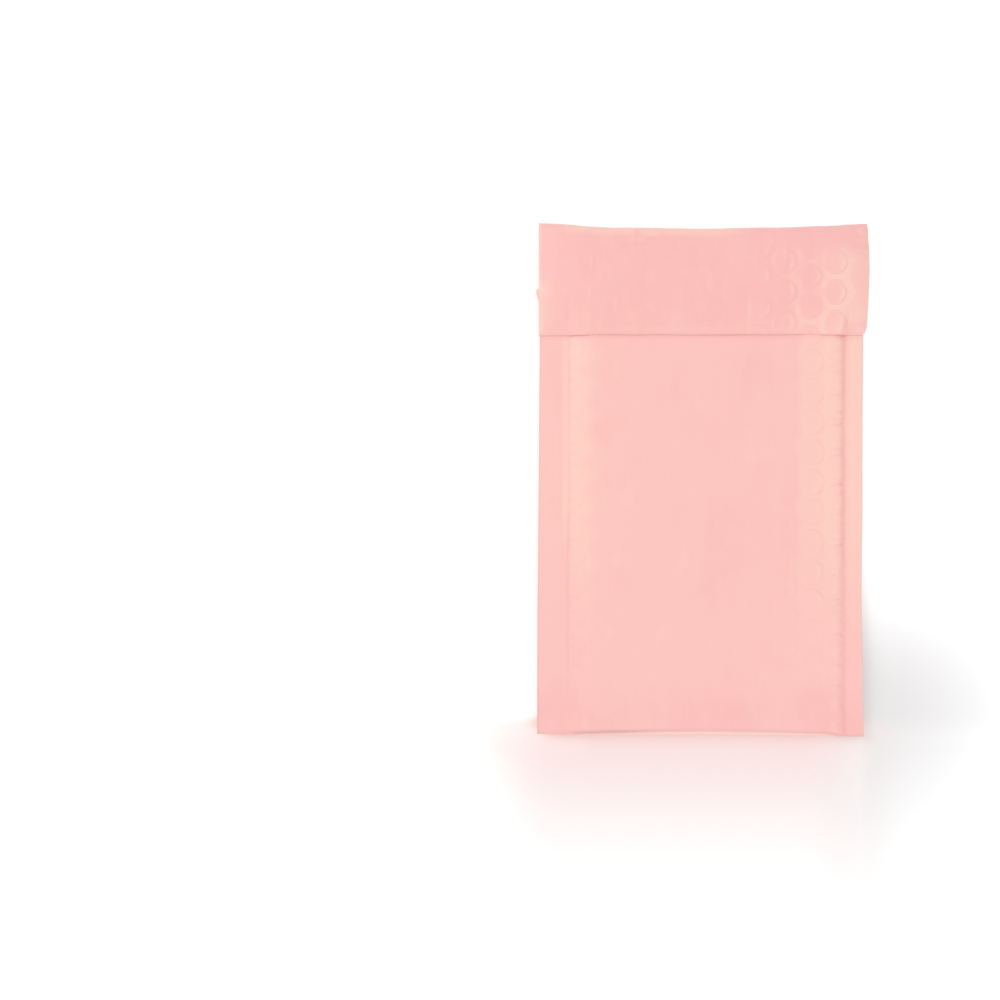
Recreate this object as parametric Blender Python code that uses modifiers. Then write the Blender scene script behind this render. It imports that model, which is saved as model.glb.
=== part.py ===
"""A padded mailing envelope, closed and empty, lying on its back.

It is one web of film lined with air bubbles. The web is cut as a flat blank, folded once at the
bottom and once at the top, and welded down both sides, and a band of glue holds its flap to the
front. Metres, +Z up, the flap's end at +Y, the origin under the middle of the whole.
"""

import math

import bpy
from mathutils import Vector
from mathutils.geometry import delaunay_2d_cdt

# Outline of the closed envelope, whose width is taken across the flap
WIDTH = 0.1300
LENGTH = 0.200
TOP_SAG = 0.0016
LIP_SETBACK = 0.009

# The flap: how far it comes down, how far it stands out at the right, and its corners
FLAP_DEPTH = 0.043
FLAP_OVERHANG = 0.0022
FLARE_LENGTH = 0.012
LEFT_CORNER = (0.0010, 0.0010)
RIGHT_CORNER = (0.0021, 0.0086)

# The padded web, crushed thin in the welds, and the spaces between its layers
WALL = 0.00305
CRUSHED_WALL = 0.0004
POCKET_GAP = 0.0004
FLAP_GAP = 0.0004

# Width of the crushed strips along the sides, and of the rounded shoulders beside them
SEAL_LEFT = 0.0125
SEAL_RIGHT = 0.0070
SHOULDER = 0.0070

# The flap droops and thins towards its two sides, and thins towards its free edge, where its cut
# bubbles have lost their air
FLAP_TAPER = 0.0160
FLAP_DROOP = 0.0012
FLAP_SIDE_WALL = 0.0006
FLAP_EDGE_RUN = 0.0120
FLAP_EDGE_WALL = 0.0016

# The glue band under the flap
GLUE_WIDTH = 0.020
GLUE_INSET = 0.008
GLUE_SIDE_MARGIN = 0.018

# Air bubbles, in upright columns that are staggered by half a pitch
BUBBLE_DIAMETER = 0.0098
BUBBLE_PITCH = 0.0120
COLUMN_PITCH = 0.0104
BUBBLE_RISE = 0.0004
COLUMN_INSET = 0.0197
FRONT_ROW_INSET = 0.0136
FLAP_ROW_INSET = 0.0108
FLAP_MARGIN = 0.0062

# Facets
BUBBLE_SIDES = 10
FOLD_STEPS = 8
SHOULDER_STEPS = 4
TAPER_STEPS = 4
CORNER_STEPS = 3
SAG_POWER = 3
FLAT_ANGLE = math.radians(0.5)
MERGE = 1e-6

FILM_COLOUR = (0.96, 0.55, 0.50, 1.0)
FILM_ROUGHNESS = 0.45

LEFT, FLAP_RIGHT = -WIDTH / 2, WIDTH / 2
RIGHT = FLAP_RIGHT - FLAP_OVERHANG
SEAL_LINES = (LEFT + SEAL_LEFT, RIGHT - SEAL_RIGHT)
FLAP_BUBBLE_LIMITS = (LEFT + FLAP_MARGIN, FLAP_RIGHT - FLAP_MARGIN)
FLAP_EDGE_Y = LENGTH / 2 - FLAP_DEPTH
LIP_Y = LENGTH / 2 - LIP_SETBACK

# Heights of the web's pocket side in the back and the front, and of the front's outside
BACK_INNER_Z = WALL
FRONT_INNER_Z = BACK_INNER_Z + POCKET_GAP
FRONT_Z = FRONT_INNER_Z + WALL


def mix(a, b, t):
    return a + (b - a) * t


def clamp(t):
    return min(max(t, 0), 1)


def smooth(t):
    return clamp(t) ** 2 * (3 - 2 * clamp(t))


def eased(t):
    """Rises from 0 to 1 and levels off as it arrives."""
    return 1 - (1 - clamp(t)) ** 2


def body_wall(x):
    """Thickness of the front and back: crushed in the welds, and full past their shoulders."""
    inside = min(x - SEAL_LINES[0], SEAL_LINES[1] - x)
    return mix(CRUSHED_WALL, WALL, math.sqrt(eased(inside / SHOULDER)))


def flap_full(x):
    """0 at the flap's two cut sides and 1 where it is as thick and as high as anywhere."""
    return eased(min(x - LEFT, FLAP_RIGHT - x) / FLAP_TAPER)


def flap_wall(x):
    return mix(FLAP_SIDE_WALL, WALL, flap_full(x))


def flap_under_z(x):
    """Height of the flap's underside."""
    return FRONT_Z + FLAP_GAP - FLAP_DROOP * (1 - flap_full(x))


def fold_radius(x):
    """Inner radius of the top fold."""
    return (flap_under_z(x) - BACK_INNER_Z) / 2


def top_axis(x):
    sag = TOP_SAG * (1 - clamp(abs(2 * x / WIDTH)) ** SAG_POWER)
    return LENGTH / 2 - sag - fold_radius(x) - (flap_wall(x) + body_wall(x)) / 2


def bottom_axis(x):
    return -LENGTH / 2 + POCKET_GAP / 2 + body_wall(x)


# Stations along the flat blank, from the flap's free edge to the lip of the pocket's mouth
FLAP_END = top_axis(0) - FLAP_EDGE_Y
BACK_START = FLAP_END + math.pi * (fold_radius(0) + WALL / 2)
BACK_END = BACK_START + top_axis(0) - bottom_axis(0)
FRONT_START = BACK_END + math.pi * (POCKET_GAP + WALL) / 2
LIP = FRONT_START + LIP_Y - bottom_axis(0)


def folded(x, s):
    """Where the web's pocket side lies at x and at station s of the blank once it is folded."""
    top, bottom = top_axis(x), bottom_axis(x)
    if s <= FLAP_END:
        return Vector((x, mix(FLAP_EDGE_Y, top, s / FLAP_END), flap_under_z(x)))
    if s < BACK_START:
        turn = math.pi * (s - FLAP_END) / (BACK_START - FLAP_END)
        radius = fold_radius(x)
        across, lift = radius * math.sin(turn), radius * (1 + math.cos(turn))
        return Vector((x, top + across, BACK_INNER_Z + lift))
    if s <= BACK_END:
        return Vector((x, mix(top, bottom, (s - BACK_START) / (BACK_END - BACK_START)), BACK_INNER_Z))
    if s < FRONT_START:
        turn = math.pi * (s - BACK_END) / (FRONT_START - BACK_END)
        across, lift = math.sin(turn) * POCKET_GAP / 2, (1 - math.cos(turn)) * POCKET_GAP / 2
        return Vector((x, bottom - across, BACK_INNER_Z + lift))
    along = (s - FRONT_START) / (LIP - FRONT_START)
    return Vector((x, mix(bottom, LIP_Y, along), FRONT_INNER_Z))


def web_wall(x, s):
    """Thickness of the web at x and station s, over its bubbles."""
    if s <= FLAP_END:
        return min(flap_wall(x), mix(FLAP_EDGE_WALL, WALL, eased(s / FLAP_EDGE_RUN)))
    if s < BACK_START:
        return mix(flap_wall(x), body_wall(x), smooth((s - FLAP_END) / (BACK_START - FLAP_END)))
    return body_wall(x)


def bubble_centres(row_s, first_s, last_s, limits):
    """Centres of the whole bubbles between two stations and between a left and a right limit."""
    radius = BUBBLE_DIAMETER / 2
    column_x = RIGHT - COLUMN_INSET
    columns = range(
        math.ceil((limits[0] + radius - column_x) / COLUMN_PITCH),
        math.floor((limits[1] - radius - column_x) / COLUMN_PITCH) + 1,
    )
    centres = []
    for column in columns:
        start = row_s + (column % 2) * BUBBLE_PITCH / 2
        rows = range(
            math.ceil((first_s + radius - start) / BUBBLE_PITCH),
            math.floor((last_s - radius - start) / BUBBLE_PITCH) + 1,
        )
        centres += [(column_x + column * COLUMN_PITCH, start + row * BUBBLE_PITCH) for row in rows]
    return centres


def hollows(centres):
    """Low points of the film, halfway from a bubble to each neighbour and where three meet."""
    half_column, half_row = COLUMN_PITCH / 2, BUBBLE_PITCH / 2
    junction = (COLUMN_PITCH**2 - half_row**2) / (2 * COLUMN_PITCH)
    offsets = [(0, half_row), (half_column, half_row / 2), (half_column, -half_row / 2)]
    offsets += [(COLUMN_PITCH - junction, 0), (junction, half_row), (junction, -half_row)]
    found = {}
    for cx, cs in centres:
        for side in (1, -1):
            for dx, ds in offsets:
                x, s = cx + side * dx, cs + side * ds
                found[round(x / MERGE), round(s / MERGE)] = (x, s)
    return list(found.values())


def corner(edge_x, size, side):
    """A rounded corner of the flap, from its free edge up to its side edge."""
    width, height = size
    turns = [math.pi / 2 * i / CORNER_STEPS for i in range(CORNER_STEPS + 1)]
    centre_x = edge_x - side * width
    return [(centre_x + side * width * math.sin(t), height - height * math.cos(t)) for t in turns]


def outline():
    """The blank's cut edge. Its flap is a little wider at the right than the pouch."""
    left = corner(LEFT, LEFT_CORNER, -1)
    right = corner(FLAP_RIGHT, RIGHT_CORNER, 1)
    flare = [(RIGHT, LIP), (RIGHT, BACK_START + FLARE_LENGTH), (FLAP_RIGHT, BACK_START)]
    return left + [(LEFT, LIP)] + flare + right[::-1]


def steps(count):
    return [i / count for i in range(count + 1)]


def ruled_lines():
    """Lines across and along the blank on which its thickness or its fold changes."""
    shoulder = [SHOULDER * (1 - math.cos(t * math.pi / 2)) for t in steps(SHOULDER_STEPS)]
    body = [SEAL_LINES[0] + inset for inset in shoulder]
    body += [SEAL_LINES[1] - inset for inset in shoulder]
    flap = [LEFT + t * FLAP_TAPER for t in steps(TAPER_STEPS)[1:]]
    flap += [FLAP_RIGHT - t * FLAP_TAPER for t in steps(TAPER_STEPS)[1:]]
    rows = [t * FLAP_EDGE_RUN for t in steps(TAPER_STEPS)[1:]]
    rows += [mix(FLAP_END, BACK_START, t) for t in steps(FOLD_STEPS)]
    rows += [mix(BACK_END, FRONT_START, t) for t in steps(FOLD_STEPS)]
    lines = [((x, 0), (x, BACK_START)) for x in flap]
    lines += [((x, FLAP_END), (x, LIP)) for x in body]
    for s in rows:
        right = FLAP_RIGHT if s <= BACK_START else RIGHT
        lines.append(((LEFT, s), (right, s)))
    return lines


def add_web(collection):
    """The folded web. Its pocket side is built first, and Solidify adds the padding outside it."""
    front_row_s = FRONT_START + FRONT_ROW_INSET - LENGTH / 2 - bottom_axis(0)
    front_end = FRONT_START + FLAP_EDGE_Y - bottom_axis(0)
    centres = bubble_centres(FLAP_ROW_INSET, 0, FLAP_END, FLAP_BUBBLE_LIMITS)
    centres += bubble_centres(front_row_s, FRONT_START, front_end, SEAL_LINES)

    points = outline()
    edges = [(i, (i + 1) % len(points)) for i in range(len(points))]
    blank_edges = len(edges)
    for ends in ruled_lines():
        edges.append((len(points), len(points) + 1))
        points.extend(ends)
    for cx, cs in centres:
        first = len(points)
        for side in range(BUBBLE_SIDES):
            angle = math.tau * (side + 0.5) / BUBBLE_SIDES
            across, along = math.cos(angle), math.sin(angle)
            points.append((cx + across * BUBBLE_DIAMETER / 2, cs + along * BUBBLE_DIAMETER / 2))
            edges.append((first + side, first + (side + 1) % BUBBLE_SIDES))
    first_hollow = len(points)
    points += hollows(centres)
    loop = [list(range(blank_edges))]
    flat, _, faces, origins, *_ = delaunay_2d_cdt([Vector(p) for p in points], edges, loop, 1, MERGE)

    mesh = bpy.data.meshes.new("padded_envelope")
    mesh.from_pydata([folded(x, s) for x, s in flat], [], faces)
    web = bpy.data.objects.new("padded_envelope", mesh)
    collection.objects.link(web)
    padding = web.vertex_groups.new(name="padding")
    for index, ((x, s), origin) in enumerate(zip(flat, origins)):
        wall = web_wall(x, s)
        if any(source >= first_hollow for source in origin):
            wall = max(wall - BUBBLE_RISE, CRUSHED_WALL)
        padding.add([index], wall / WALL, "REPLACE")

    walls = web.modifiers.new("walls", "SOLIDIFY")
    walls.thickness = WALL
    walls.offset = 1
    walls.vertex_group = padding.name
    return web


def add_box(name, collection, low, high):
    """A block that fills a gap between two layers of the web."""
    bpy.ops.mesh.primitive_cube_add(size=1, location=(Vector(low) + Vector(high)) / 2)
    box = bpy.context.object
    box.name = name
    box.scale = Vector(high) - Vector(low)
    for owner in list(box.users_collection):
        owner.objects.unlink(box)
    collection.objects.link(box)
    box.hide_render = True
    box.display_type = "WIRE"


def add_joins(collection):
    """The side welds, from fold to mouth, and the glue band between the front and the flap."""
    low_y, low_z = -LENGTH / 2 + CRUSHED_WALL / 2, BACK_INNER_Z - CRUSHED_WALL / 2
    high_z = FRONT_INNER_Z + CRUSHED_WALL / 2
    add_box("left_weld", collection, (LEFT, low_y, low_z), (SEAL_LINES[0], LIP_Y, high_z))
    add_box("right_weld", collection, (SEAL_LINES[1], low_y, low_z), (RIGHT, LIP_Y, high_z))
    glue_y = FLAP_EDGE_Y + GLUE_INSET
    low = (LEFT + GLUE_SIDE_MARGIN, glue_y, FRONT_Z - WALL / 4)
    high = (RIGHT - GLUE_SIDE_MARGIN, glue_y + GLUE_WIDTH, FRONT_Z + FLAP_GAP + WALL / 4)
    add_box("glue_band", collection, low, high)


def film_material():
    film = bpy.data.materials.new("pink_film")
    film.use_nodes = True
    shader = film.node_tree.nodes["Principled BSDF"]
    shader.inputs["Base Color"].default_value = FILM_COLOUR
    shader.inputs["Roughness"].default_value = FILM_ROUGHNESS
    shader.inputs["Metallic"].default_value = 0
    return film


def main():
    for old in list(bpy.data.objects):
        bpy.data.objects.remove(old)
    envelope = bpy.data.collections.new("padded envelope")
    joins = bpy.data.collections.new("welds and glue")
    for collection in (envelope, joins):
        bpy.context.scene.collection.children.link(collection)

    web = add_web(envelope)
    add_joins(joins)
    join = web.modifiers.new("welds_and_glue", "BOOLEAN")
    join.operation = "UNION"
    join.operand_type = "COLLECTION"
    join.collection = joins
    join.solver = "EXACT"
    tidy = web.modifiers.new("flat_faces", "DECIMATE")
    tidy.decimate_type = "DISSOLVE"
    tidy.angle_limit = FLAT_ANGLE
    web.data.materials.append(film_material())


main()
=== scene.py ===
import math

import bpy
import numpy as np
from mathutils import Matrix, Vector


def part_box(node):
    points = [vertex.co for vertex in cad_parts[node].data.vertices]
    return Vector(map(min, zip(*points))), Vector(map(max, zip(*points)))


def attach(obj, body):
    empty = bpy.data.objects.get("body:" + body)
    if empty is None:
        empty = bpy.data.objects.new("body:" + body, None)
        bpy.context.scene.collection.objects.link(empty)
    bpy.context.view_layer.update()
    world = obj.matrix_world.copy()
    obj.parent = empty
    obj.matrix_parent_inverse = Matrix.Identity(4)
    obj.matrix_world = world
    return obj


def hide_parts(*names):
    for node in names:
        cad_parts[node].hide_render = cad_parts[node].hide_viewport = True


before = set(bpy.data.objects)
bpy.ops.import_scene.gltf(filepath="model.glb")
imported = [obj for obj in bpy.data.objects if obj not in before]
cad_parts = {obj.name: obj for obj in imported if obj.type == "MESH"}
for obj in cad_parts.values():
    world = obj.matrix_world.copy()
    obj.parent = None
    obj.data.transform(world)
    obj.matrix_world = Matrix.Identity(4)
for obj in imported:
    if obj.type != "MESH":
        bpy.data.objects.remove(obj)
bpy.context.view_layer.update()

# The web
# One strip of pink polyethylene film with bubble lining bonded to it. It is cut as a flat blank,
# folded once at the bottom and once at the top, and hot bars weld its two sides together. A band of
# glue, out of sight, holds the flap to the front.

low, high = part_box("padded_envelope")
MM = 0.001
LAYER_GAP = 0.4 * MM
WALL = (high.z - low.z - 2 * LAYER_GAP) / 3
CRUSHED_WALL = 0.4 * MM
FLAP_DEPTH = 43.0 * MM
FLAP_OVERHANG = 2.2 * MM
LIP_SETBACK = 9.0 * MM
SEAL_LEFT = 13.2 * MM
SEAL_RIGHT = 7.4 * MM
SHOULDER = 7.0 * MM
FLAP_TAPER = 16.0 * MM
FLAP_DROOP = 1.2 * MM
FLAP_SIDE_WALL = 0.6 * MM
FLAP_EDGE_RUN = 11.0 * MM
FLAP_EDGE_WALL = 0.22 * MM
FLAP_EDGE_GAP = 0.04 * MM

LEFT = low.x
RIGHT = high.x - FLAP_OVERHANG
TOP, BOTTOM = high.y + 0.2 * MM, low.y - 0.2 * MM
FLAP_EDGE_Y = high.y - FLAP_DEPTH - 0.7 * MM
LIP_Y = high.y - LIP_SETBACK
LEFT_SEAL_X, RIGHT_SEAL_X = LEFT + SEAL_LEFT, RIGHT - SEAL_RIGHT
BACK_INNER_Z = low.z + WALL
FRONT_INNER_Z = BACK_INNER_Z + LAYER_GAP
WELD_Z = BACK_INNER_Z + LAYER_GAP / 2
chance = np.random.default_rng(7)


def mix(a, b, t):
    return a + (b - a) * t


def smooth(t):
    t = np.clip(t, 0, 1)
    return t * t * (3 - 2 * t)


def eased(t):
    """Rises from 0 to 1 and levels off as it arrives."""
    return 1 - (1 - np.clip(t, 0, 1)) ** 2


def bell(distance, width):
    return np.exp(-((distance / width) ** 2))


def curve(points):
    """A line through points of (place, value) in millimetres, as a function in metres."""
    places, values = np.array(sorted(points)).T * MM
    return lambda place: np.interp(place, places, values)


def waves(count, shortest, longest):
    """A gentle undulation over the plane: a few crossing waves of random length and direction."""
    terms = []
    for _ in range(count):
        turn, phase = chance.uniform(0, math.tau, 2)
        length = chance.uniform(shortest, longest)
        terms.append((math.cos(turn) / length, math.sin(turn) / length, phase))

    def height(x, y):
        total = sum(np.sin(math.tau * (a * x + b * y) + phase) for a, b, phase in terms)
        return total / count

    return height


# Edges of the blank, by how far they lie below the top. The flap stands out at the right, where its
# corner is trimmed, and a scrap of film stands out at the left.
flap_out = curve([
    (0, 1.2), (1.2, 1.45), (7, 1.5), (9.5, 1.8), (13, 1.9), (18, 2.0), (25, 1.7), (29, 1.6),
    (36, 1.6), (38.2, 1.65), (40.6, 1.5), (42.5, 0.9), (43.7, 0.1),
])
body_out = curve([
    (44, 0.3), (69, 0.1), (108, -0.05), (148, -0.3), (167, 0.0), (187, 0.3), (200, 0.55),
])
body_in = curve([(40, 1.5), (100, 1.1), (150, 0.6), (200, 0.4)])
FLAP_LEFT_INSET = 1.05 * MM
EAR_TOP_Y, EAR_HEIGHT, EAR_DEPTH = high.y - 26.0 * MM, 4.8 * MM, 1.1 * MM

# The top fold sinks between its corners, by the place across it, and the bottom runs a little low
# towards the right.
top_sag = curve([
    (-65, 0.05), (-61, 0.22), (-56, 0.6), (-52.5, 0.98), (-50, 1.0), (-44, 1.25), (-36, 1.6),
    (-25, 1.65), (-13, 1.9), (0, 2.1), (15, 1.85), (34, 1.5), (50, 0.9), (54, 0.75), (56, 0.88),
    (58, 0.76), (61, 0.42), (66, 0.1),
])
bottom_drop = curve([
    (-66, 0.0), (-50, 0.4), (-38, 0.5), (0, 0.35), (30, 0.65), (55, 1.0), (66, 1.1),
])


def flap_right_edge(y):
    return RIGHT + flap_out(TOP - y)


def flap_left_edge(y):
    down = (EAR_TOP_Y - y) / EAR_HEIGHT
    scrap = EAR_DEPTH * np.clip(down / 0.06, 0, 1) * np.clip((1 - down) / 0.7, 0, 1)
    return LEFT + FLAP_LEFT_INSET - scrap


def body_right_edge(y):
    return RIGHT + body_out(TOP - y)


def body_left_edge(y):
    """The body is a little wider at the bottom than under the flap."""
    return LEFT + body_in(TOP - y)


def body_wall(x):
    """Thickness of the front and back: crushed in the welds, and full past their shoulders."""
    from_left = eased((x - LEFT_SEAL_X) / (1.3 * SHOULDER)) ** 1.25
    from_right = np.sqrt(eased((RIGHT_SEAL_X - x) / SHOULDER))
    return mix(CRUSHED_WALL, WALL, np.minimum(from_left, from_right))


def flap_full(x):
    """0 at the flap's two cut sides and 1 where it is as thick and as high as anywhere."""
    return eased(np.minimum(x - LEFT, RIGHT + FLAP_OVERHANG - x) / FLAP_TAPER)


def flap_wall(x):
    return mix(FLAP_SIDE_WALL, WALL, flap_full(x))


def weld(x):
    """1 in the side welds, where the pocket is shut, and 0 between them."""
    return 1 - smooth(np.minimum(x - LEFT_SEAL_X, RIGHT_SEAL_X - x) / (2 * MM))


def padded(wall):
    """0 where the padding is crushed and 1 where it is whole."""
    return smooth((wall - CRUSHED_WALL) / (WALL - CRUSHED_WALL))


# Air bubbles, in upright columns staggered by half a pitch. They show as low domes, clearest along
# the right of the front and on the right of the flap.
BUBBLE_RADIUS = 4.95 * MM
BUBBLE_PITCH = 11.7 * MM
COLUMN_PITCH = 10.4 * MM
COLUMN_X = RIGHT - 20.5 * MM
FLAP_COLUMN_X = RIGHT - 21.7 * MM
FLAP_SQUEEZE = 0.94
FRONT_ROW_Y = high.y - 183.1 * MM
FLAP_ROW_Y = high.y - 33.3 * MM
BACK_ROW_Y = high.y - 192.0 * MM
BUBBLE_RISE = 0.26 * MM


def front_place(x, y):
    """Place in the lattice, from the centre of one of its bubbles."""
    return np.stack([x - COLUMN_X, y - FRONT_ROW_Y])


def back_place(x, y):
    return np.stack([x - COLUMN_X, y - BACK_ROW_Y])


def flap_place(x, y):
    """The lattice is a little narrower on the flap, where the folded film is gathered."""
    return np.stack([(x - FLAP_COLUMN_X) / FLAP_SQUEEZE, y - FLAP_ROW_Y])


def bubble_relief(place):
    """Height of the domes, from -0.5 between them to 0.5 on their tops."""
    across, along = place
    nearest = np.full(np.shape(across), 1.0)
    column_here = np.round(across / COLUMN_PITCH)
    for step in (-1, 0, 1):
        column = column_here + step
        start = np.mod(column, 2) * BUBBLE_PITCH / 2
        near = np.round((along - start) / BUBBLE_PITCH)
        distance = np.hypot(across - column * COLUMN_PITCH, along - start - near * BUBBLE_PITCH)
        nearest = np.minimum(nearest, distance)
    return 0.5 - smooth((nearest - 0.45 * BUBBLE_RADIUS) / (0.65 * BUBBLE_RADIUS))


def front_clarity(x, y):
    """How clearly the bubbles show through the front: well in one column by the right seal."""
    right = smooth((x - 36.5 * MM) / (2 * MM)) * mix(0.25, 1, smooth((y + 82 * MM) / (30 * MM)))
    second = bell(x - 32 * MM, 6 * MM) * mix(0.12, 0.6, bell(y + 50 * MM, 22 * MM))
    left = 0.5 * bell(x + 46 * MM, 6 * MM)
    clarity = np.maximum(np.maximum(right, second), np.maximum(left, 0.08))
    return clarity * smooth((RIGHT_SEAL_X - x) / (0.8 * MM)) * smooth((x - LEFT_SEAL_X) / (0.8 * MM))


def flap_clarity(x, y):
    below = TOP - y
    across = mix(0.35, 1, smooth((x - 14 * MM) / (16 * MM)))
    return across * smooth((below - 8 * MM) / (8 * MM)) * (1 - smooth((x - 57.5 * MM) / (2.5 * MM)))


# Puckers: short creases that run in from a weld, where the film was gathered as it cooled. They are
# deepest at the right. The swell is the gentle rise and fall of the padding.
FRONT_PUCKER, BACK_PUCKER, FLAP_PUCKER = 0.42 * MM, 0.36 * MM, 0.22 * MM
FRONT_LEFT_PUCKER, BACK_LEFT_PUCKER, FLAP_LEFT_PUCKER = 0.24 * MM, 0.30 * MM, 0.20 * MM
SWELL, FLAP_SWELL = 0.12 * MM, 0.16 * MM
PUCKER_PITCH = (2.6 * MM, 6.5 * MM)
PUCKER_REACH = (3.0 * MM, 8.0 * MM)
PUCKER_WIDTH = (0.75 * MM, 1.1 * MM)
PUCKER_SLOPE = 0.45


def puckers(seal_x, inward, low_y, high_y, depth):
    """The puckers along one weld, as a function of the place on the film."""
    creases = []
    y = low_y
    while y < high_y:
        y += chance.uniform(*PUCKER_PITCH)
        reach, width = chance.uniform(*PUCKER_REACH), chance.uniform(*PUCKER_WIDTH)
        slope = chance.uniform(-PUCKER_SLOPE, PUCKER_SLOPE)
        creases.append((y, reach, width, slope, depth * chance.uniform(0.4, 1)))

    def height(x, y):
        inside = (x - seal_x) * inward
        total = 0
        for at, reach, width, slope, deep in creases:
            fade = smooth(inside / (0.8 * MM)) * smooth(1 - inside / reach)
            total = total - deep * fade * bell(y - at - slope * inside, width)
        return total

    return height


front_right = puckers(RIGHT_SEAL_X, -1, BOTTOM, FLAP_EDGE_Y, FRONT_PUCKER)
front_left = puckers(LEFT_SEAL_X, 1, BOTTOM, FLAP_EDGE_Y, FRONT_LEFT_PUCKER)
back_right = puckers(RIGHT_SEAL_X, -1, BOTTOM, TOP, BACK_PUCKER)
back_left = puckers(LEFT_SEAL_X, 1, BOTTOM, TOP, BACK_LEFT_PUCKER)
flap_right = puckers(RIGHT + FLAP_OVERHANG, -1, FLAP_EDGE_Y + 4 * MM, TOP, FLAP_PUCKER)
flap_left = puckers(LEFT, 1, FLAP_EDGE_Y + 4 * MM, TOP, FLAP_LEFT_PUCKER)
front_swell = waves(7, 28 * MM, 70 * MM)
flap_swell = waves(6, 16 * MM, 45 * MM)
back_swell = waves(7, 25 * MM, 70 * MM)
strip_sway = waves(5, 22 * MM, 60 * MM)
edge_sway = waves(5, 12 * MM, 34 * MM)

# Seal lines, pressed by the bars' edges: a groove at the right, which leans in towards the bottom,
# and a softer step at the left. Each groove is its depth and half width.
RIGHT_GROOVE = (0.09 * MM, 1.15 * MM)
LEFT_GROOVE = (0.03 * MM, 0.60 * MM)
LEFT_LINE_OFFSET = 0.75 * MM
seal_lean = curve([(-100, 1.25), (-75, 1.05), (-50, 0.95), (-24, 0.75), (10, 0.5), (56, 0.2)])


def past_right_line(x, y):
    return x - RIGHT_SEAL_X + seal_lean(y)


def past_left_line(x):
    return x - LEFT_SEAL_X + LEFT_LINE_OFFSET


def grooves(x, y):
    right = RIGHT_GROOVE[0] * bell(past_right_line(x, y), RIGHT_GROOVE[1])
    return right + LEFT_GROOVE[0] * bell(past_left_line(x), LEFT_GROOVE[1])


def front_height(x, y):
    """Height of the front's outside over the web's pocket side."""
    wall = body_wall(x)
    domes = BUBBLE_RISE * (front_clarity(x, y) * bubble_relief(front_place(x, y)) - 0.5)
    swell = SWELL * (front_swell(x, y) - 1)
    gathers = front_right(x, y) + front_left(x, y)
    return wall + (domes + swell) * padded(wall) - grooves(x, y) + gathers


def back_height(x, y):
    """Height of the back's outside. It only dips below the full wall, so the envelope lies flat."""
    wall = body_wall(x)
    domes = BUBBLE_RISE * (0.8 * bubble_relief(back_place(x, y)) - 0.4)
    swell = SWELL * (back_swell(x, y) - 1)
    gathers = back_right(x, y) + back_left(x, y)
    return wall + (domes + swell) * padded(wall) - 0.7 * grooves(x, y) + gathers


# Creases on the flap: a dent by the top fold with a shallow fold running past it, and the fan of
# small creases in the upper right corner. The fold is points along it and each crease of the fan its
# two ends, as x and distance below the top.
DENT = (-26.0 * MM, 4.3 * MM)
DENT_SIZE = (1.3 * MM, 1.5 * MM)
FLAP_CREASE_DEPTH = 0.5 * MM
DENT_CREASE = np.array([(-33, 10.2), (-29.2, 9.4), (-23.7, 8.5), (-18.6, 5.6), (-12.8, 4.7)]) * MM
CORNER_FAN = np.array([(64.2, 6.8, 58.0, 5.6), (64.4, 10.0, 57.0, 9.6), (64.8, 13.6, 58.5, 11.8)]) * MM


def flap_marks(x, y):
    """1 along the flap's creases."""
    below = TOP - y
    path_below = np.interp(x, DENT_CREASE[:, 0], DENT_CREASE[:, 1])
    along = smooth((x - DENT_CREASE[0, 0]) / (3 * MM)) * smooth((DENT_CREASE[-1, 0] - x) / (4 * MM))
    marks = 0.45 * along * bell(below - path_below, 0.8 * MM)
    marks = marks + bell(x - DENT[0], DENT_SIZE[0]) * bell(below - DENT[1], DENT_SIZE[1])
    for x1, below1, x2, below2 in CORNER_FAN:
        run = np.clip((x1 - x) / (x1 - x2), 0, 1)
        inside = smooth((x1 + 1.0 * MM - x) / (1.5 * MM)) * smooth((x - x2) / (3 * MM))
        marks = marks + 0.6 * inside * bell(below - mix(below1, below2, run), 0.7 * MM)
    return marks


def flap_height(x, y):
    """Height of the flap's outside. Its cut bubbles have gone flat along the free edge."""
    up = y - FLAP_EDGE_Y
    wall = np.minimum(flap_wall(x), mix(FLAP_EDGE_WALL, WALL, eased(up / FLAP_EDGE_RUN)))
    domes = BUBBLE_RISE * (flap_clarity(x, y) * bubble_relief(flap_place(x, y)) - 0.5)
    swell = FLAP_SWELL * (flap_swell(x, y) - 1)
    creases = flap_right(x, y) + flap_left(x, y) - FLAP_CREASE_DEPTH * flap_marks(x, y)
    return wall + (domes + swell + creases) * padded(wall)


def flap_under_z(x, y):
    """Height of the flap's underside. It droops at the sides, and its free edge lies on the front."""
    reach, run = 0.8 * MM, 17 * MM
    over = FRONT_INNER_Z + WALL + LAYER_GAP - FLAP_DROOP * (1 - flap_full(x))
    hugged = np.maximum(body_wall(x - reach), body_wall(x + reach))
    lying = mix(FRONT_INNER_Z, WELD_Z, weld(x)) + hugged - 0.25 * MM * padded(hugged) + FLAP_EDGE_GAP
    return mix(np.minimum(lying, over), over, smooth((y - FLAP_EDGE_Y) / run))


def fold_radius(x):
    return (flap_under_z(x, TOP) - BACK_INNER_Z) / 2


def top_axis(x):
    return TOP - top_sag(x) - fold_radius(x) - (flap_wall(x) + body_wall(x)) / 2


def bottom_edge(x):
    return BOTTOM - bottom_drop(x)


def bottom_axis(x):
    return bottom_edge(x) + LAYER_GAP / 2 + body_wall(x)


STRIP_WAVE, FREE_EDGE_WAVE = 0.55 * MM, 0.25 * MM


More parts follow.
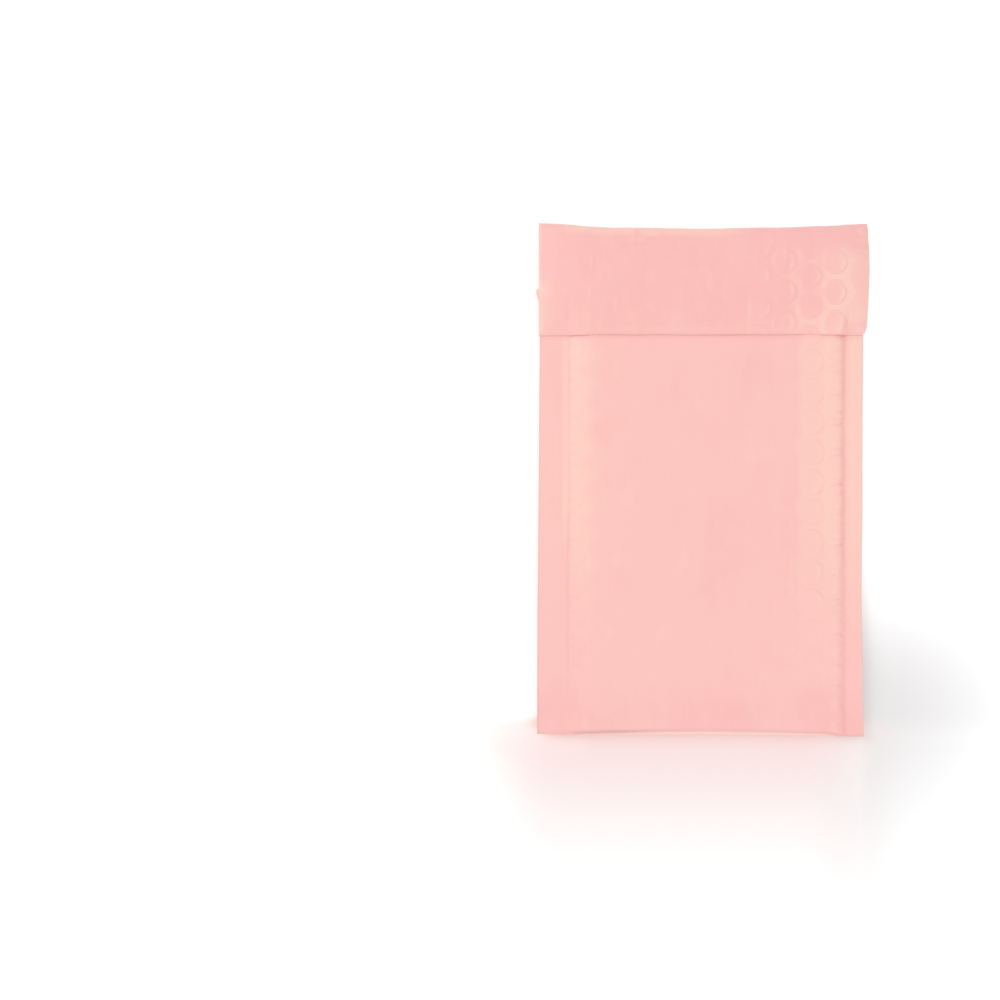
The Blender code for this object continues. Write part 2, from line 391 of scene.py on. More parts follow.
def sway(x, y):
    """The thin side strips aren't quite flat: they wave up and down towards their cut edges."""
    outward = np.maximum((LEFT_SEAL_X - x) / SEAL_LEFT, (x - RIGHT_SEAL_X) / SEAL_RIGHT)
    return STRIP_WAVE * np.clip(outward, 0, 1.2) ** 2 * strip_sway(0 * x + 0.4 * np.sign(x), y)


# Tints of the film, as masks from 0 to 1 on the outside: deeper pink, peach that is mostly painted
# highlight, dark pressed lines with painted shade in creases, painted shade, pale rims with painted
# highlight, and how clearly the bubbles' rings and lands show. The places are those in the bubbles'
# lattice.
MASKS = ("deep", "peach_and_highlight", "line_and_shade", "painted_shade", "pale_and_highlight", "rings", "lands")
PLACES = ("across", "along")
SCALLOP_PITCH = 6.4 * MM
lip_crease = curve([
    (-66, 0.5), (-54, 0.9), (-46, 1.6), (-38, 1.95), (-15, 2.4), (0, 2.5), (20, 2.4), (48, 2.0),
    (57, 0.3),
])


def cut_rim(outward):
    """The pale rim of a cut edge, partly painted light, by how far outward from that edge a point lies.
    """
    return smooth((outward + 0.8 * MM) / (0.6 * MM))


def crease_shade(creases, depth):
    """Painted shade in creases, which is 1 at their full depth."""
    return -creases / depth


def upper_part(y):
    """Rises from 0 at the bottom of the front to 1 at its middle."""
    return smooth((y + 78 * MM) / (78 * MM))


def bottom_lip(x, up):
    """1 on the rounded lip between the bottom fold's crease and its edge."""
    lip = 1 - smooth((up - lip_crease(x) + 1.0 * MM) / (0.7 * MM))
    return lip * mix(0.3, 1, smooth((up - 0.1 * MM) / (0.4 * MM)))


def front_peach_and_highlight(x, y):
    """Peach, mostly painted highlight: beside both seals in the upper part, on the bottom lip, and
    scallops by the right seal below it.
    """
    upper, from_left = upper_part(y), x - LEFT_SEAL_X
    scalloped = np.sin(math.tau * front_place(x, y)[1] / BUBBLE_PITCH)
    ragged = x + 1.2 * MM * front_swell(3 * x, 3 * y) + 0.8 * MM * scalloped
    right = 0.6 * smooth((ragged - 35.5 * MM) / (4 * MM)) + 0.4 * smooth((ragged - 45 * MM) / (4 * MM))
    left = smooth((from_left + 0.7 * MM) / (1.8 * MM))
    left = left * mix(1, 0.12, smooth((from_left - (3 + 1.3 * scalloped) * MM) / (10 * MM)))
    left = 0.92 * left * smooth((-20 * MM - x) / (20 * MM))
    band = bell(from_left + 1.8 * MM, 1.3 * MM) * smooth((y + 38 * MM) / (24 * MM))
    strip = 0.2 * smooth(-from_left / MM)
    sides = upper * np.maximum(np.maximum(left, right), np.maximum(band, strip))
    scallops = smooth(0.5 + np.sin(math.tau * y / SCALLOP_PITCH + 4 * strip_sway(0 * x, y)))
    scallops = 0.3 * scallops * bell(past_right_line(x, y) + 3.2 * MM, 1.5 * MM) * (1 - upper)
    return np.maximum(sides, bottom_lip(x, y - bottom_edge(x))) + scallops


def seal_lines(x, y, up):
    """Seal lines, pressed and deepened with painted shade. They wander, fade a little and vary in
    strength.
    """
    wander = 0.35 * MM * strip_sway(0 * x, 2.5 * y)
    firm = 1 + 0.35 * strip_sway(0 * x + 9 * MM, 1.5 * y)
    pressed = smooth((y + 62 * MM) / (50 * MM))
    past_right = past_right_line(x, y) + wander
    right = firm * bell(past_right, 1.3 * MM) * mix(0.10, 0.48, pressed)
    half_way = np.mod(front_place(x, y)[1] + BUBBLE_PITCH / 2, BUBBLE_PITCH) - BUBBLE_PITCH / 2
    right = right + 0.22 * pressed * bell(past_right + 0.9 * MM, 1.1 * MM) * bell(half_way, 1.1 * MM)
    from_left = x - LEFT_SEAL_X
    lower = smooth((-5 * MM - y) / (22 * MM)) * mix(0.35, 1, smooth((y + 86 * MM) / (12 * MM)))
    left = firm * lower * 0.42 * bell(past_left_line(x) + 1.1 * wander, 0.55 * MM)
    left = left + 0.10 * bell(from_left + 3.4 * MM, 0.45 * MM)
    foot = 1 - smooth((up - 10 * MM) / (6 * MM))
    return right + left + 0.25 * foot * bell(from_left + 2.9 * MM - 1.5 * wander, 0.5 * MM)


def front_tints(x, y):
    up = y - bottom_edge(x)
    low_right = smooth((x - 34 * MM) / (6 * MM)) * (1 - smooth((up - 8 * MM) / (14 * MM)))
    deep = 0.6 * (1 - smooth((up - 4 * MM) / (24 * MM))) + 0.35 * low_right
    # Painted shadow just below the flap's free edge
    under_flap = mix(0.58, 0.3, smooth((x - 30 * MM) / (12 * MM)))
    under_flap = under_flap * bell(FLAP_EDGE_Y - y - 0.5 * MM, 0.85 * MM)
    # Painted shade in the bottom fold's crease, dark pink, and greyest left of the middle
    crease = bell(up - lip_crease(x), 0.65 * MM) * mix(0.4, 1, smooth((x + 54 * MM) / (6 * MM)))
    # Painted shade in the puckers
    gathers = crease_shade(front_right(x, y) + front_left(x, y), FRONT_PUCKER)
    gathers = gathers * mix(0.45, 0.3, upper_part(y))
    line_and_shade = seal_lines(x, y, up) + under_flap + 0.5 * crease + gathers
    painted_shade = crease * mix(0.2, 0.95, bell(x + 37 * MM, 17 * MM))
    lip_ends = smooth((x + 54 * MM) / (8 * MM)) * (1 - smooth((x - 51 * MM) / (5 * MM)))
    # Painted light on the bottom lip, which curves away from the lamps, and a pale cut rim at the right,
    # partly painted light
    pale_and_highlight = np.maximum(0.8 * bottom_lip(x, up) * lip_ends, 0.6 * cut_rim(x - body_right_edge(y)))
    clarity = front_clarity(x, y)
    return np.stack([deep, front_peach_and_highlight(x, y), line_and_shade, painted_shade, pale_and_highlight, 0.8 * clarity, 0.12 * clarity])


# Small marks on the flap: painted highlight on the lit side of its creases, dent and bubble rims, and
# painted shade beside them: place across, distance below the top, and half sizes
LIT_MARKS = np.array([
    (-24.8, 7.4, 2.0, 0.7), (-20.4, 5.6, 2.6, 0.7), (61.4, 4.3, 1.8, 1.9), (61.6, 7.2, 2.4, 0.55),
    (-44.2, 16.2, 0.45, 3.2), (-44.6, 27.8, 0.4, 2.6), (-44.6, 39.1, 0.4, 2.6), (-34.4, 32.5, 0.45, 2.6),
    (17.6, 34.0, 0.5, 4.5), (-61.5, 27.5, 2.6, 2.4), (31.0, 13.0, 0.5, 3.0), (24.0, 22.0, 0.4, 2.4),
]) * MM
SHADED_MARKS = np.array([
    (-45.2, 4.6, 0.9, 0.9), (-33.4, 4.4, 0.45, 1.2), (-45.8, 16.5, 0.4, 3.4), (-45.9, 29.0, 0.35, 2.4),
    (16.4, 33.0, 0.4, 4.5),
]) * MM


def spots(marks, x, y):
    return sum(bell(x - at, wide) * bell(TOP - y - down, tall) for at, down, wide, tall in marks)


def flap_tints(x, y):
    below = TOP - top_sag(x) - y
    up = y - FLAP_EDGE_Y
    # Peach: painted highlight on the right of the flap, along its top fold, down its left side and over
    # the lit marks; pale hem lines by the free edge
    right = smooth((x - 42 * MM) / (14 * MM)) * smooth((below - 6 * MM) / (8 * MM))
    corner = smooth((x - 50 * MM) / (5 * MM)) * smooth((7.5 * MM - up) / (4 * MM))
    right = right * (1 - 0.9 * corner)
    fold = (1 - smooth((below - 1.8 * MM) / (3.2 * MM))) * smooth((24 * MM - x) / (20 * MM))
    fold = fold * smooth((x + 58 * MM) / (9 * MM))
    side = 0.75 * (1 - smooth((x - LEFT - 1.5 * MM) / (4.5 * MM))) * smooth((below - 20 * MM) / (6 * MM))
    hem = 0.22 * (bell(up - 2.5 * MM, 0.4 * MM) + bell(up - 1.5 * MM, 0.35 * MM))
    lit_marks = spots(LIT_MARKS, x, y)
    peach_and_highlight = np.maximum(np.maximum(fold, side), 0.42 * right) + hem + 0.4 * lit_marks
    paler = np.maximum(right, smooth((-38 * MM - x) / (14 * MM)))
    # The flap is deeper pink, with painted light on its paler sides and towards its free edge, where it
    # slopes down
    deep = 1 - 0.35 * paler - 0.4 * (1 - smooth((up - 2 * MM) / (12 * MM)))
    # Painted shade along the creases and the dent, in the puckers, beside the lit marks and on the scrap
    # at the left
    gathers = 0.12 * crease_shade(flap_right(x, y) + flap_left(x, y), FLAP_PUCKER)
    ear = 0.6 * smooth((LEFT + FLAP_LEFT_INSET - 0.1 * MM - x) / (0.3 * MM))
    line_and_shade = 0.7 * flap_marks(x, y) + gathers + 0.22 * spots(SHADED_MARKS, x, y) + ear
    rim = cut_rim(np.maximum(x - flap_right_edge(y), flap_left_edge(y) - x))
    pale_and_highlight = np.maximum(0.06 * lit_marks, 0.5 * rim)
    clarity = flap_clarity(x, y)
    lands = clarity * smooth((x - 25 * MM) / (20 * MM)) * (1 - 0.9 * corner)
    return np.stack([deep, peach_and_highlight, line_and_shade, 0.25 * ear, pale_and_highlight, clarity, lands])


def back_tints(x, y):
    """The back is plainer: even film with its bubbles faint all over."""
    plain = 0 * x
    clarity = plain + 0.35
    # Dark seal lines with painted shade in the puckers, and painted highlight on the sloping sides
    seals = 0.7 * bell(x - RIGHT_SEAL_X, 1.0 * MM) + 0.4 * bell(x - LEFT_SEAL_X, 0.8 * MM)
    gathers = 0.3 * crease_shade(back_right(x, y) + back_left(x, y), BACK_PUCKER)
    sides = 0.6 * smooth((np.abs(x) - 44 * MM) / (8 * MM))
    return np.stack([plain + 0.4, sides, seals + gathers, plain, plain, clarity, 0.15 * clarity])


# Columns across the web and rows along it, close together where the relief is fine
def spaced(stops):
    """Places from the first stop to the last, each stretch cut to the spacing given with it."""
    places = [stops[0][0]]
    for (start, spacing), (end, _) in zip(stops, stops[1:]):
        count = max(1, round((end - start) / spacing))
        places += [mix(start, end, (i + 1) / count) for i in range(count)]
    return np.array(places)


columns = spaced([
    (LEFT, 1.2 * MM),
    (LEFT_SEAL_X - 3.0 * MM, 0.4 * MM),
    (LEFT_SEAL_X + 1.2 * MM, 0.6 * MM),
    (LEFT_SEAL_X + SHOULDER, 0.8 * MM),
    (RIGHT_SEAL_X - 10 * MM, 0.55 * MM),
    (RIGHT_SEAL_X - 2.4 * MM, 0.3 * MM),
    (RIGHT_SEAL_X + 2.0 * MM, 0.8 * MM),
    (RIGHT, 0),
])

# Stations along the web: the flap's free edge is 0, then come the two ends of the top fold, the
# back, the two ends of the bottom fold, the front, and the lip under the flap.
FLAP_END, BACK_START, BACK_END, FRONT_START, LIP = 1.0, 2.0, 3.0, 4.0, 5.0
FINE_ROW, HEM_ROW, BACK_ROW, HIDDEN_ROW = 0.72 * MM, 0.32 * MM, 1.6 * MM, 3.4 * MM
TOP_FOLD_ROWS, BOTTOM_FOLD_ROWS = 20, 18
front_length = LIP_Y - BOTTOM
rows = spaced([
    (0, HEM_ROW / FLAP_DEPTH),
    (3.6 * MM / FLAP_DEPTH, FINE_ROW / FLAP_DEPTH),
    ((EAR_TOP_Y - 6 * MM - FLAP_EDGE_Y) / FLAP_DEPTH, HEM_ROW / FLAP_DEPTH),
    ((EAR_TOP_Y + 1 * MM - FLAP_EDGE_Y) / FLAP_DEPTH, FINE_ROW / FLAP_DEPTH),
    (FLAP_END, 1 / TOP_FOLD_ROWS),
    (BACK_START, BACK_ROW / front_length),
    (BACK_END, 1 / BOTTOM_FOLD_ROWS),
    (FRONT_START, FINE_ROW / front_length),
    (FRONT_START + (FLAP_EDGE_Y - 6 * MM - BOTTOM) / front_length, HEM_ROW / front_length),
    (FRONT_START + (FLAP_EDGE_Y - 1 * MM - BOTTOM) / front_length, HIDDEN_ROW / front_length),
    (LIP, 0),
])


def stretched(x, left, right):
    """The columns, with only those in the side strips moved to reach the edges at this row."""
    to_right = np.clip((x - RIGHT_SEAL_X) / (RIGHT - RIGHT_SEAL_X), 0, 1)
    to_left = np.clip((LEFT_SEAL_X - x) / (LEFT_SEAL_X - LEFT), 0, 1)
    return x + to_right * (right - RIGHT) + to_left * (left - LEFT)


def placed(x, y, z, thick, turn):
    """Points of the pocket side and of the outside, where turn is the web's angle from face up."""
    inner = np.stack([x, y, z], axis=-1)
    outward = np.stack([0 * x, math.sin(turn) + 0 * x, math.cos(turn) + 0 * x], axis=-1)
    return inner, inner + outward * thick[:, None]


def web_row(t):
    """One row of the web at station t: inner points, outer points, tints and place in the lattice."""
    if t <= FLAP_END:
        wavy_edge = FLAP_EDGE_Y + FREE_EDGE_WAVE * edge_sway(columns, 0 * columns)
        y = mix(wavy_edge, top_axis(columns), t)
        x = stretched(columns, flap_left_edge(y[0]), flap_right_edge(y[-1]))
        inner, outer = placed(x, y, flap_under_z(x, y) + sway(x, y), flap_height(x, y), 0)
        return inner, outer, flap_tints(x, y), flap_place(x, y)
    if t < BACK_START:
        turn = math.pi * (t - FLAP_END)
        x = stretched(columns, flap_left_edge(TOP), flap_right_edge(TOP))
        top, radius = top_axis(x), fold_radius(x)
        y, z = top + radius * math.sin(turn), BACK_INNER_Z + radius * (1 + math.cos(turn))
        blend = smooth(t - FLAP_END)
        thick = mix(flap_height(x, top), back_height(x, top), blend)
        inner, outer = placed(x, y, z + sway(x, top), thick, turn)
        tints = mix(flap_tints(x, outer[:, 1]), back_tints(x, outer[:, 1]), blend)
        return inner, outer, tints, mix(flap_place(x, y), back_place(x, y), blend)
    if t <= BACK_END:
        y = mix(top_axis(columns), bottom_axis(columns), t - BACK_START)
        flare = smooth((y[0] - TOP + 14 * MM) / (12 * MM))
        left = mix(body_left_edge(y[0]), flap_left_edge(TOP), flare)
        x = stretched(columns, left, mix(body_right_edge(y[-1]), flap_right_edge(TOP), flare))
        z = mix(BACK_INNER_Z, WELD_Z - 0.02 * MM, weld(x)) + sway(x, y)
        inner, outer = placed(x, y, z, back_height(x, y), math.pi)
        return inner, outer, back_tints(x, y), back_place(x, y)
    if t < FRONT_START:
        turn = math.pi * (t - BACK_END)
        x = stretched(columns, body_left_edge(BOTTOM), body_right_edge(BOTTOM))
        bottom, radius = bottom_axis(x), LAYER_GAP / 2 * (1 - 0.9 * weld(x))
        y, z = bottom - radius * math.sin(turn), WELD_Z - radius * math.cos(turn)
        blend = smooth(t - BACK_END)
        thick = mix(back_height(x, bottom), front_height(x, bottom), blend)
        inner, outer = placed(x, y, z + sway(x, bottom), thick, math.pi + turn)
        tints = mix(back_tints(x, outer[:, 1]), front_tints(x, outer[:, 1]), blend)
        return inner, outer, tints, mix(back_place(x, y), front_place(x, y), blend)
    y = mix(bottom_axis(columns), LIP_Y, t - FRONT_START)
    x = stretched(columns, body_left_edge(y[0]), body_right_edge(y[-1]))
    z = mix(FRONT_INNER_Z, WELD_Z + 0.02 * MM, weld(x)) + sway(x, y)
    under_flap = smooth((y - FLAP_EDGE_Y + 1 * MM) / (3 * MM))
    thick = np.maximum(front_height(x, y) - 0.2 * MM * under_flap, 0.2 * MM)
    inner, outer = placed(x, y, z, thick, 0)
    return inner, outer, front_tints(x, y), front_place(x, y)


INSIDE_ROW_STEP, INSIDE_COLUMN_STEP = 4, 3


def web_mesh(name):
    """A closed mesh: a fine outside, a pocket side with fewer points, and the cut edge all round."""
    made = [web_row(t) for t in rows]
    across, along = len(columns), len(rows)
    inner = np.array([row[0] for row in made])
    outer = np.array([row[1] for row in made]).reshape(-1, 3)
    masks = np.clip(np.concatenate([row[2] for row in made], axis=1), 0, 1)
    places = np.concatenate([row[3] for row in made], axis=1)
    fine = np.arange(across * along).reshape(along, across)
    kept_rows = sorted({*range(0, along, INSIDE_ROW_STEP), along - 1})
    kept_columns = sorted({*range(0, across, INSIDE_COLUMN_STEP), across - 1})
    inner = inner[np.ix_(kept_rows, kept_columns)]
    coarse = outer.shape[0] + np.arange(inner.shape[0] * inner.shape[1]).reshape(inner.shape[:2])

    outside = np.stack([fine[:-1, :-1], fine[:-1, 1:], fine[1:, 1:], fine[1:, :-1]], axis=-1)
    inside = np.stack([coarse[:-1, :-1], coarse[1:, :-1], coarse[1:, 1:], coarse[:-1, 1:]], axis=-1)
    outside, inside = outside.reshape(-1, 4).tolist(), inside.reshape(-1, 4).tolist()
    edge = []
    sides = (
        (fine[0], coarse[0], kept_columns, False), (fine[-1], coarse[-1], kept_columns, True),
        (fine[:, 0], coarse[:, 0], kept_rows, True), (fine[:, -1], coarse[:, -1], kept_rows, False),
    )
    for outer_line, inner_line, kept, turned in sides:
        for i, (start, end) in enumerate(zip(kept, kept[1:])):
            face = [inner_line[i], inner_line[i + 1], *outer_line[start:end + 1][::-1]]
            edge.append([int(v) for v in (face[::-1] if turned else face)])

    mesh = bpy.data.meshes.new(name)
    points = np.concatenate([outer, inner.reshape(-1, 3)])
    mesh.from_pydata(points.tolist(), [], outside + inside + edge)
    slots = np.ones(len(mesh.polygons), dtype=np.int32)
    slots[:len(outside)] = 0
    mesh.polygons.foreach_set("material_index", slots)
    smoothed = np.ones(len(mesh.polygons), dtype=bool)
    smoothed[len(outside) + len(inside):] = False
    mesh.polygons.foreach_set("use_smooth", smoothed)
    unmasked = np.zeros(inner[..., 0].size)
    for mask_name, values in zip(MASKS + PLACES, (*masks, *places)):
        mask = mesh.attributes.new(mask_name, "FLOAT", "POINT")
        mask.data.foreach_set("value", np.concatenate([values, unmasked]).astype(np.float32))
    mesh.update()
    return mesh


web_data = web_mesh("envelope_web")
web = bpy.data.objects.new("envelope_web", web_data)
bpy.context.scene.collection.objects.link(web)


class Shade:
    """One output in a material's node tree. Arithmetic on it adds Math nodes."""

    def __init__(self, tree, socket=None):
        self.tree = tree
        self.socket = socket

    def node(self, kind, settings=None, inputs=None, output=0):
        """Adds a node, sets it up, feeds its sockets with values or links, and gives an output."""
        made = self.tree.nodes.new(kind)
        for key, value in (settings or {}).items():
            setattr(made, key, value)
        for key, value in (inputs or {}).items():
            if isinstance(value, Shade):
                self.tree.links.new(value.socket, made.inputs[key])
            else:
                made.inputs[key].default_value = value
        return Shade(self.tree, made.outputs[output] if made.outputs else None)

    def maths(self, operation, *others):
        return self.node("ShaderNodeMath", {"operation": operation}, dict(enumerate((self, *others))))

    def __add__(self, other):
        return self.maths("ADD", other)

    def __sub__(self, other):
        return self.maths("SUBTRACT", other)

    def __rsub__(self, other):
        return (self * -1).maths("ADD", other)

    def __mul__(self, other):
        return self.maths("MULTIPLY", other)

    __radd__ = __add__
    __rmul__ = __mul__

    def between(self, start, end):
        """0 up to start, 1 from end, and a smooth step between them."""
        inputs = {"Value": self, "From Min": start, "From Max": end}
        return self.node("ShaderNodeMapRange", {"interpolation_type": "SMOOTHSTEP"}, inputs)

    def noise(self, place, scale, detail):
        """A random pattern round 0.5, with about as many lumps to a metre as its scale."""
        return self.node("ShaderNodeTexNoise", None, {"Vector": place, "Scale": scale, "Detail": detail})

    def blend(self, first, second):
        """A colour, first where this is 0 and second where it is 1."""
        settings = {"data_type": "RGBA", "clamp_factor": True}
        return self.node("ShaderNodeMix", settings, {"Factor": self, 6: first, 7: second}, 2)


def new_material(name):
    material = bpy.data.materials.new(name)
    material.use_nodes = True
    material.node_tree.nodes.clear()
    return material, Shade(material.node_tree)


# The film's colours: salmon pink, deeper on the flap and near the bottom, peach and pale mostly as
# painted highlight over the bubbles' rims, by the seals and on folds and rims, dark pink in pressed lines
# and as painted shade in creases, and grey as painted shade in the bottom crease and on the scrap
FILM_PINK = (0.968, 0.548, 0.507, 1)
FILM_DEEP = (0.952, 0.500, 0.470, 1)
FILM_PEACH = (0.980, 0.610, 0.525, 1)
FILM_LINE = (0.950, 0.455, 0.450, 1)
FILM_SHADE = (0.700, 0.400, 0.400, 1)
FILM_PALE = (0.990, 0.740, 0.650, 1)
FILM_ROUGHNESS = 0.42
RING_WIDTH = 0.42 * MM
RING_DEPTH = 0.05 * MM
GRAIN_DEPTH = 0.02 * MM


def film_material():
    material, shade = new_material("pink_film")
    place = shade.node("ShaderNodeTexCoord", output=3)
    deep, peach_and_highlight, line_and_shade, painted_shade, pale_and_highlight, rings, lands, across, along = (
        shade.node("ShaderNodeAttribute", {"attribute_name": name}, output=2) for name in MASKS + PLACES
    )
    x, y = (shade.node("ShaderNodeSeparateXYZ", None, {0: place}, axis) for axis in (0, 1))
    drawn = shade.node("ShaderNodeVectorMath", {"operation": "MULTIPLY"}, {0: place, 1: (1.0, 0.3, 1.0)})
    cloud = shade.noise(place, 22.0, 3.0)
    patch = shade.noise(place, 75.0, 1.0)
    breaks = shade.noise(place, 210.0, 1.0)
    wobble = shade.noise(place, 120.0, 2.0)
    streaks = shade.noise(drawn, 190.0, 2.0)
    crinkle = shade.noise(place, 260.0, 4.0)

    # Distance from the nearest bubble's centre, in two square grids that lie half a cell apart
    dx1 = across.maths("WRAP", COLUMN_PITCH, -COLUMN_PITCH)
    dy1 = along.maths("WRAP", BUBBLE_PITCH / 2, -BUBBLE_PITCH / 2)
    dx2 = across.maths("WRAP", 2 * COLUMN_PITCH, 0.0) - COLUMN_PITCH
    dy2 = along.maths("WRAP", BUBBLE_PITCH, 0.0) - BUBBLE_PITCH / 2
    far1 = (dx1 * dx1 + dy1 * dy1).maths("SQRT")
    far2 = (dx2 * dx2 + dy2 * dy2).maths("SQRT")
    first = far1.maths("LESS_THAN", far2)
    distance = far1.maths("MINIMUM", far2) + (wobble - 0.5) * (2.2 * MM) + (patch - 0.5) * MM
    to_right = (dx1 * first + dx2 * (1 - first)) * (1 / BUBBLE_RADIUS)

    # Each ring is a dark arc of painted shade, most of it on the right, with a pale arc of painted
    # highlight at its left and one inside it. By the right seal the dark arc shows above and below each
    # bubble, where it runs into the seal.
    own = patch.between(0.34, 0.60) * (breaks.between(0.34, 0.60) * 0.65 + 0.35)
    by_seal = x.between(46.5 * MM, 47.5 * MM) * (1 - y.between(FLAP_EDGE_Y - MM, FLAP_EDGE_Y))
    off_ring = (distance - BUBBLE_RADIUS).maths("ABSOLUTE")
    ring = 1 - off_ring.between(0.0, RING_WIDTH)
    open_arc = to_right * 0.35 + 0.62
    seal_arc = 0.95 - to_right.maths("ABSOLUTE").between(0.35, 1.0) * 0.85
    arc_shade = ring * rings * (open_arc + (seal_arc - open_arc) * by_seal) * (own * 0.8 + 0.3)
    off_inner = (distance - BUBBLE_RADIUS * 0.6).maths("ABSOLUTE")
    facing = to_right * (x.between(0.0, 25 * MM) * 2 - 1)
    inner_arc = (1 - off_inner.between(0.2 * MM, 1.3 * MM)) * facing.between(0.15, 0.6)
    pale_side = (1 - off_ring.between(0.2 * MM, 1.1 * MM)) * (to_right * -1).between(0.3, 1.0)
    arc_highlight = (pale_side * 0.75 + inner_arc) * rings * own * 0.75
    # The lands between the bubbles are paler, a painted highlight
    ragged = patch.between(0.36, 0.60) * 0.5 + breaks.between(0.36, 0.60) * 0.4
    land = distance.between(BUBBLE_RADIUS * 0.80, BUBBLE_RADIUS * 1.15) * lands * (ragged + 0.15)

    mottle = (cloud - 0.5) * 1.5 + (patch - 0.5) * 1.2 + (streaks - 0.5) * 1.2
    ground = (deep + mottle).blend(FILM_PINK, FILM_DEEP)
    paler = (peach_and_highlight + land * 0.8 + arc_highlight + streaks.between(0.56, 0.74) * 0.25).blend(ground, FILM_PEACH)
    lined = (line_and_shade + arc_shade * 0.75).blend(paler, FILM_LINE)
    colour = painted_shade.blend(pale_and_highlight.blend(lined, FILM_PALE), FILM_SHADE)
    height = crinkle * GRAIN_DEPTH - arc_shade * RING_DEPTH
    bump = shade.node("ShaderNodeBump", None, {"Height": height, "Strength": 1.0, "Distance": 1.0})
    rough = cloud * 0.10 + (FILM_ROUGHNESS - 0.05)
    film = shade.node("ShaderNodeBsdfPrincipled", None, {
        "Base Color": colour, "Roughness": rough, "Normal": bump, "IOR": 1.5,
    })
    shade.node("ShaderNodeOutputMaterial", None, {"Surface": film})
    return material


# The bubble lining: milky clear film, seen only on the pocket side and along the cut edges
LINING_PALE = (0.95, 0.68, 0.60, 1)


def lining_material():
    material, shade = new_material("bubble_lining")
    place = shade.node("ShaderNodeTexCoord", output=3)
    cloud = shade.noise(place, 300.0, 2.0)
    colour = cloud.blend(LINING_PALE, FILM_PEACH)
    bump = shade.node("ShaderNodeBump", None, {"Height": cloud, "Strength": 0.3, "Distance": 0.0002})
    lining = shade.node("ShaderNodeBsdfPrincipled", None, {
        "Base Color": colour, "Roughness": 0.35, "Normal": bump, "IOR": 1.5,
    })
    shade.node("ShaderNodeOutputMaterial", None, {"Surface": lining})
    return material


web_data.materials.append(film_material())
web_data.materials.append(lining_material())
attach(web, "root")
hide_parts("padded_envelope")

# The studio
# A white floor with a painted pink reflection of the film below the envelope and a painted shadow at its
# lower right, broad lamps on both sides, even light from all round, and a camera straight above. The
# envelope lies a little to the right in the picture.
PIXELS = 1000
FOCAL_PIXELS = 1273
PIXELS_PER_METRE = 2556
CENTRE_PIXEL = (702.6, 479)
SENSOR_MM = 36
eye_height = (low.z + high.z) / 2 + FOCAL_PIXELS / PIXELS_PER_METRE
eye_x = -(CENTRE_PIXEL[0] - PIXELS / 2) / PIXELS_PER_METRE
eye_y = -(PIXELS / 2 - CENTRE_PIXEL[1]) / PIXELS_PER_METRE
camera_data = bpy.data.cameras.new("camera")
camera_data.sensor_width = SENSOR_MM
camera_data.lens = SENSOR_MM * FOCAL_PIXELS / PIXELS
camera_data.clip_start = 0.01
camera = bpy.data.objects.new("camera", camera_data)
camera.location = (eye_x, eye_y, eye_height)
bpy.context.scene.collection.objects.link(camera)
bpy.context.scene.camera = camera

FLOOR_SIZE = 6.0
FLOOR_WHITE = (0.94, 0.94, 0.94, 1)
FLOOR_REFLECTION = (0.918, 0.757, 0.747, 1)
FLOOR_GLOW = (1.0, 0.70, 0.58, 1)
FLOOR_SHADOW = (0.79, 0.77, 0.77, 1)
FLOOR_FADE, GLOW_FADE, CONTACT_FADE = 43 * MM, 8 * MM, 5 * MM
FLOOR_LIFT, GLOW_LIFT, STRIP_LIFT, CONTACT_LIFT = 0.30, 0.10, 0.08, 0.11
bpy.ops.mesh.primitive_grid_add(x_subdivisions=8, y_subdivisions=8, size=FLOOR_SIZE)
floor = bpy.context.object
floor.name = "studio_floor"
floor_material, shade = new_material("studio_white")
place = shade.node("ShaderNodeTexCoord", output=3)
x, y = (shade.node("ShaderNodeSeparateXYZ", None, {0: place}, axis) for axis in (0, 1))
below, down, left = BOTTOM - y, y * -1, x * -1


def dying_out(distance, length):
    """1 up to a distance of 0, and e times less with every further length."""
    return (distance * (-1 / length)).maths("EXPONENT").maths("MINIMUM", 1.0)


fade = dying_out(below - 6 * MM, FLOOR_FADE)
pink_reflection = fade * below.between(-8 * MM, -2 * MM)
pink_reflection = pink_reflection * left.between(-84 * MM, -50 * MM) * x.between(-105 * MM, -55 * MM)
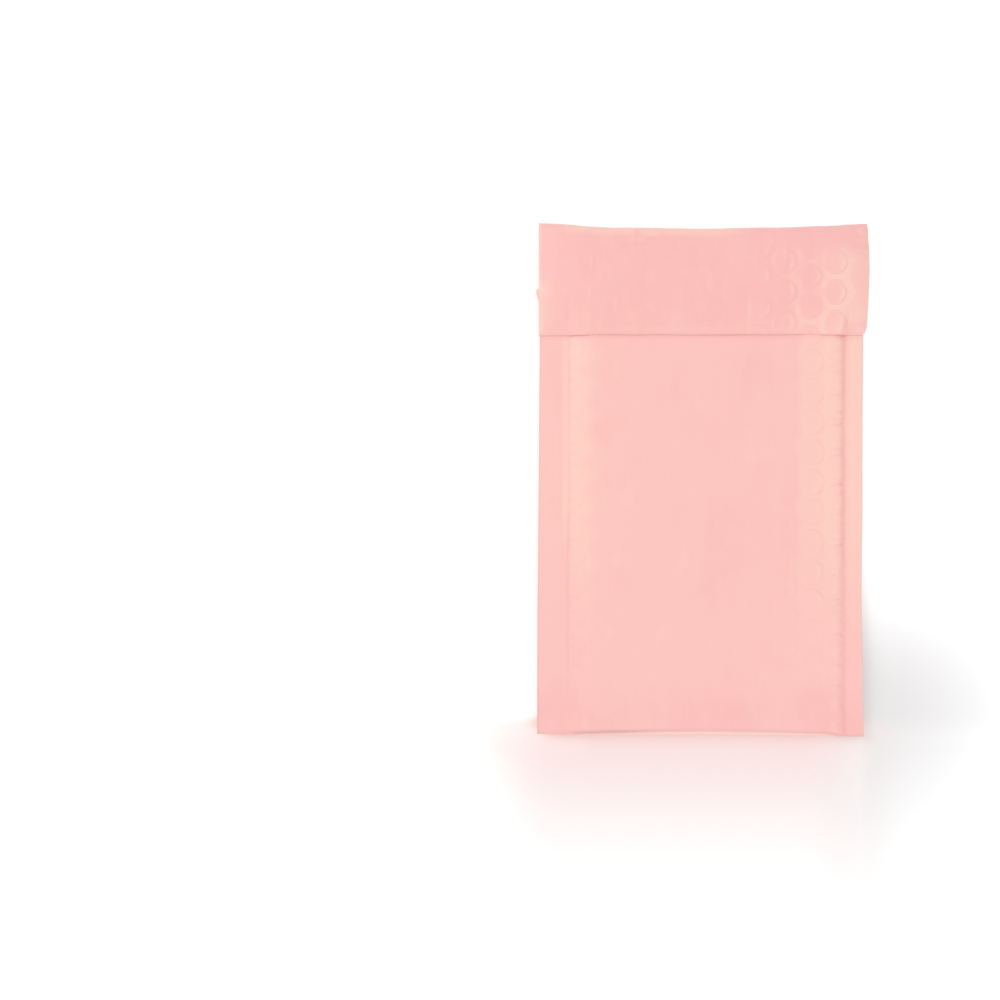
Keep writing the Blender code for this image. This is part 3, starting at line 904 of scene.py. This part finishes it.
# Painted shadow of the envelope at its lower right
shadow = x.between(RIGHT - 25 * MM, RIGHT + 4 * MM) * (1.05 - x.between(RIGHT - 20 * MM, RIGHT + 98 * MM))
shadow = shadow * fade.maths("POWER", 0.7) * down.between(24 * MM, 93 * MM)
shadow = shadow * (1 - down.between(92 * MM, 104 * MM) * 0.2)
colour = shadow.blend(pink_reflection.blend(FLOOR_WHITE, FLOOR_REFLECTION), FLOOR_SHADOW)
matte = shade.node("ShaderNodeBsdfDiffuse", None, {"Color": colour})

# What the camera alone sees: the bare floor as white, a warm painted reflection glowing close to the
# film, and painted light lifting the contact shade under the left strip and beside the right edge
seen = shade.node("ShaderNodeLightPath", output="Is Camera Ray")
plain = (1 - pink_reflection) * (1 - shadow)
close = dying_out(below, GLOW_FADE) * pink_reflection
under_strips = left.between(40 * MM, 56 * MM) * STRIP_LIFT
beside = dying_out(x - RIGHT, CONTACT_FADE) * shadow * CONTACT_LIFT
lift = plain * plain * FLOOR_LIFT + close * (under_strips + GLOW_LIFT) + beside
tinted = (close * 4).blend((1, 1, 1, 1), FLOOR_GLOW)
glow = shade.node("ShaderNodeEmission", None, {"Color": tinted, "Strength": seen * lift})
both = shade.node("ShaderNodeAddShader", None, {0: matte, 1: glow})
shade.node("ShaderNodeOutputMaterial", None, {"Surface": both})
floor.data.materials.append(floor_material)


def lamp(name, place, size, power, aim):
    data = bpy.data.lights.new(name, "AREA")
    data.shape = "DISK"
    data.size = size
    data.energy = power
    made = bpy.data.objects.new(name, data)
    made.location = place
    made.rotation_euler = (Vector(aim) - Vector(place)).to_track_quat("-Z", "Y").to_euler()
    bpy.context.scene.collection.objects.link(made)


lamp("left_lamp", (-1.1, 0.60, 0.85), 0.9, 5.2, (0, 0, 0))
lamp("right_lamp", (0.9, -0.75, 0.95), 0.9, 3.8, (0, 0, 0))
world = bpy.data.worlds.new("studio")
world.use_nodes = True
world.node_tree.nodes.clear()
shade = Shade(world.node_tree)
seen = shade.node("ShaderNodeLightPath", output="Is Camera Ray")
sky = shade.node("ShaderNodeBackground", None, {"Color": (1, 1, 1, 1), "Strength": seen * 0.20 + 0.80})
shade.node("ShaderNodeOutputWorld", None, {"Surface": sky})
bpy.context.scene.world = world
bpy.context.scene.view_settings.view_transform = "Standard"
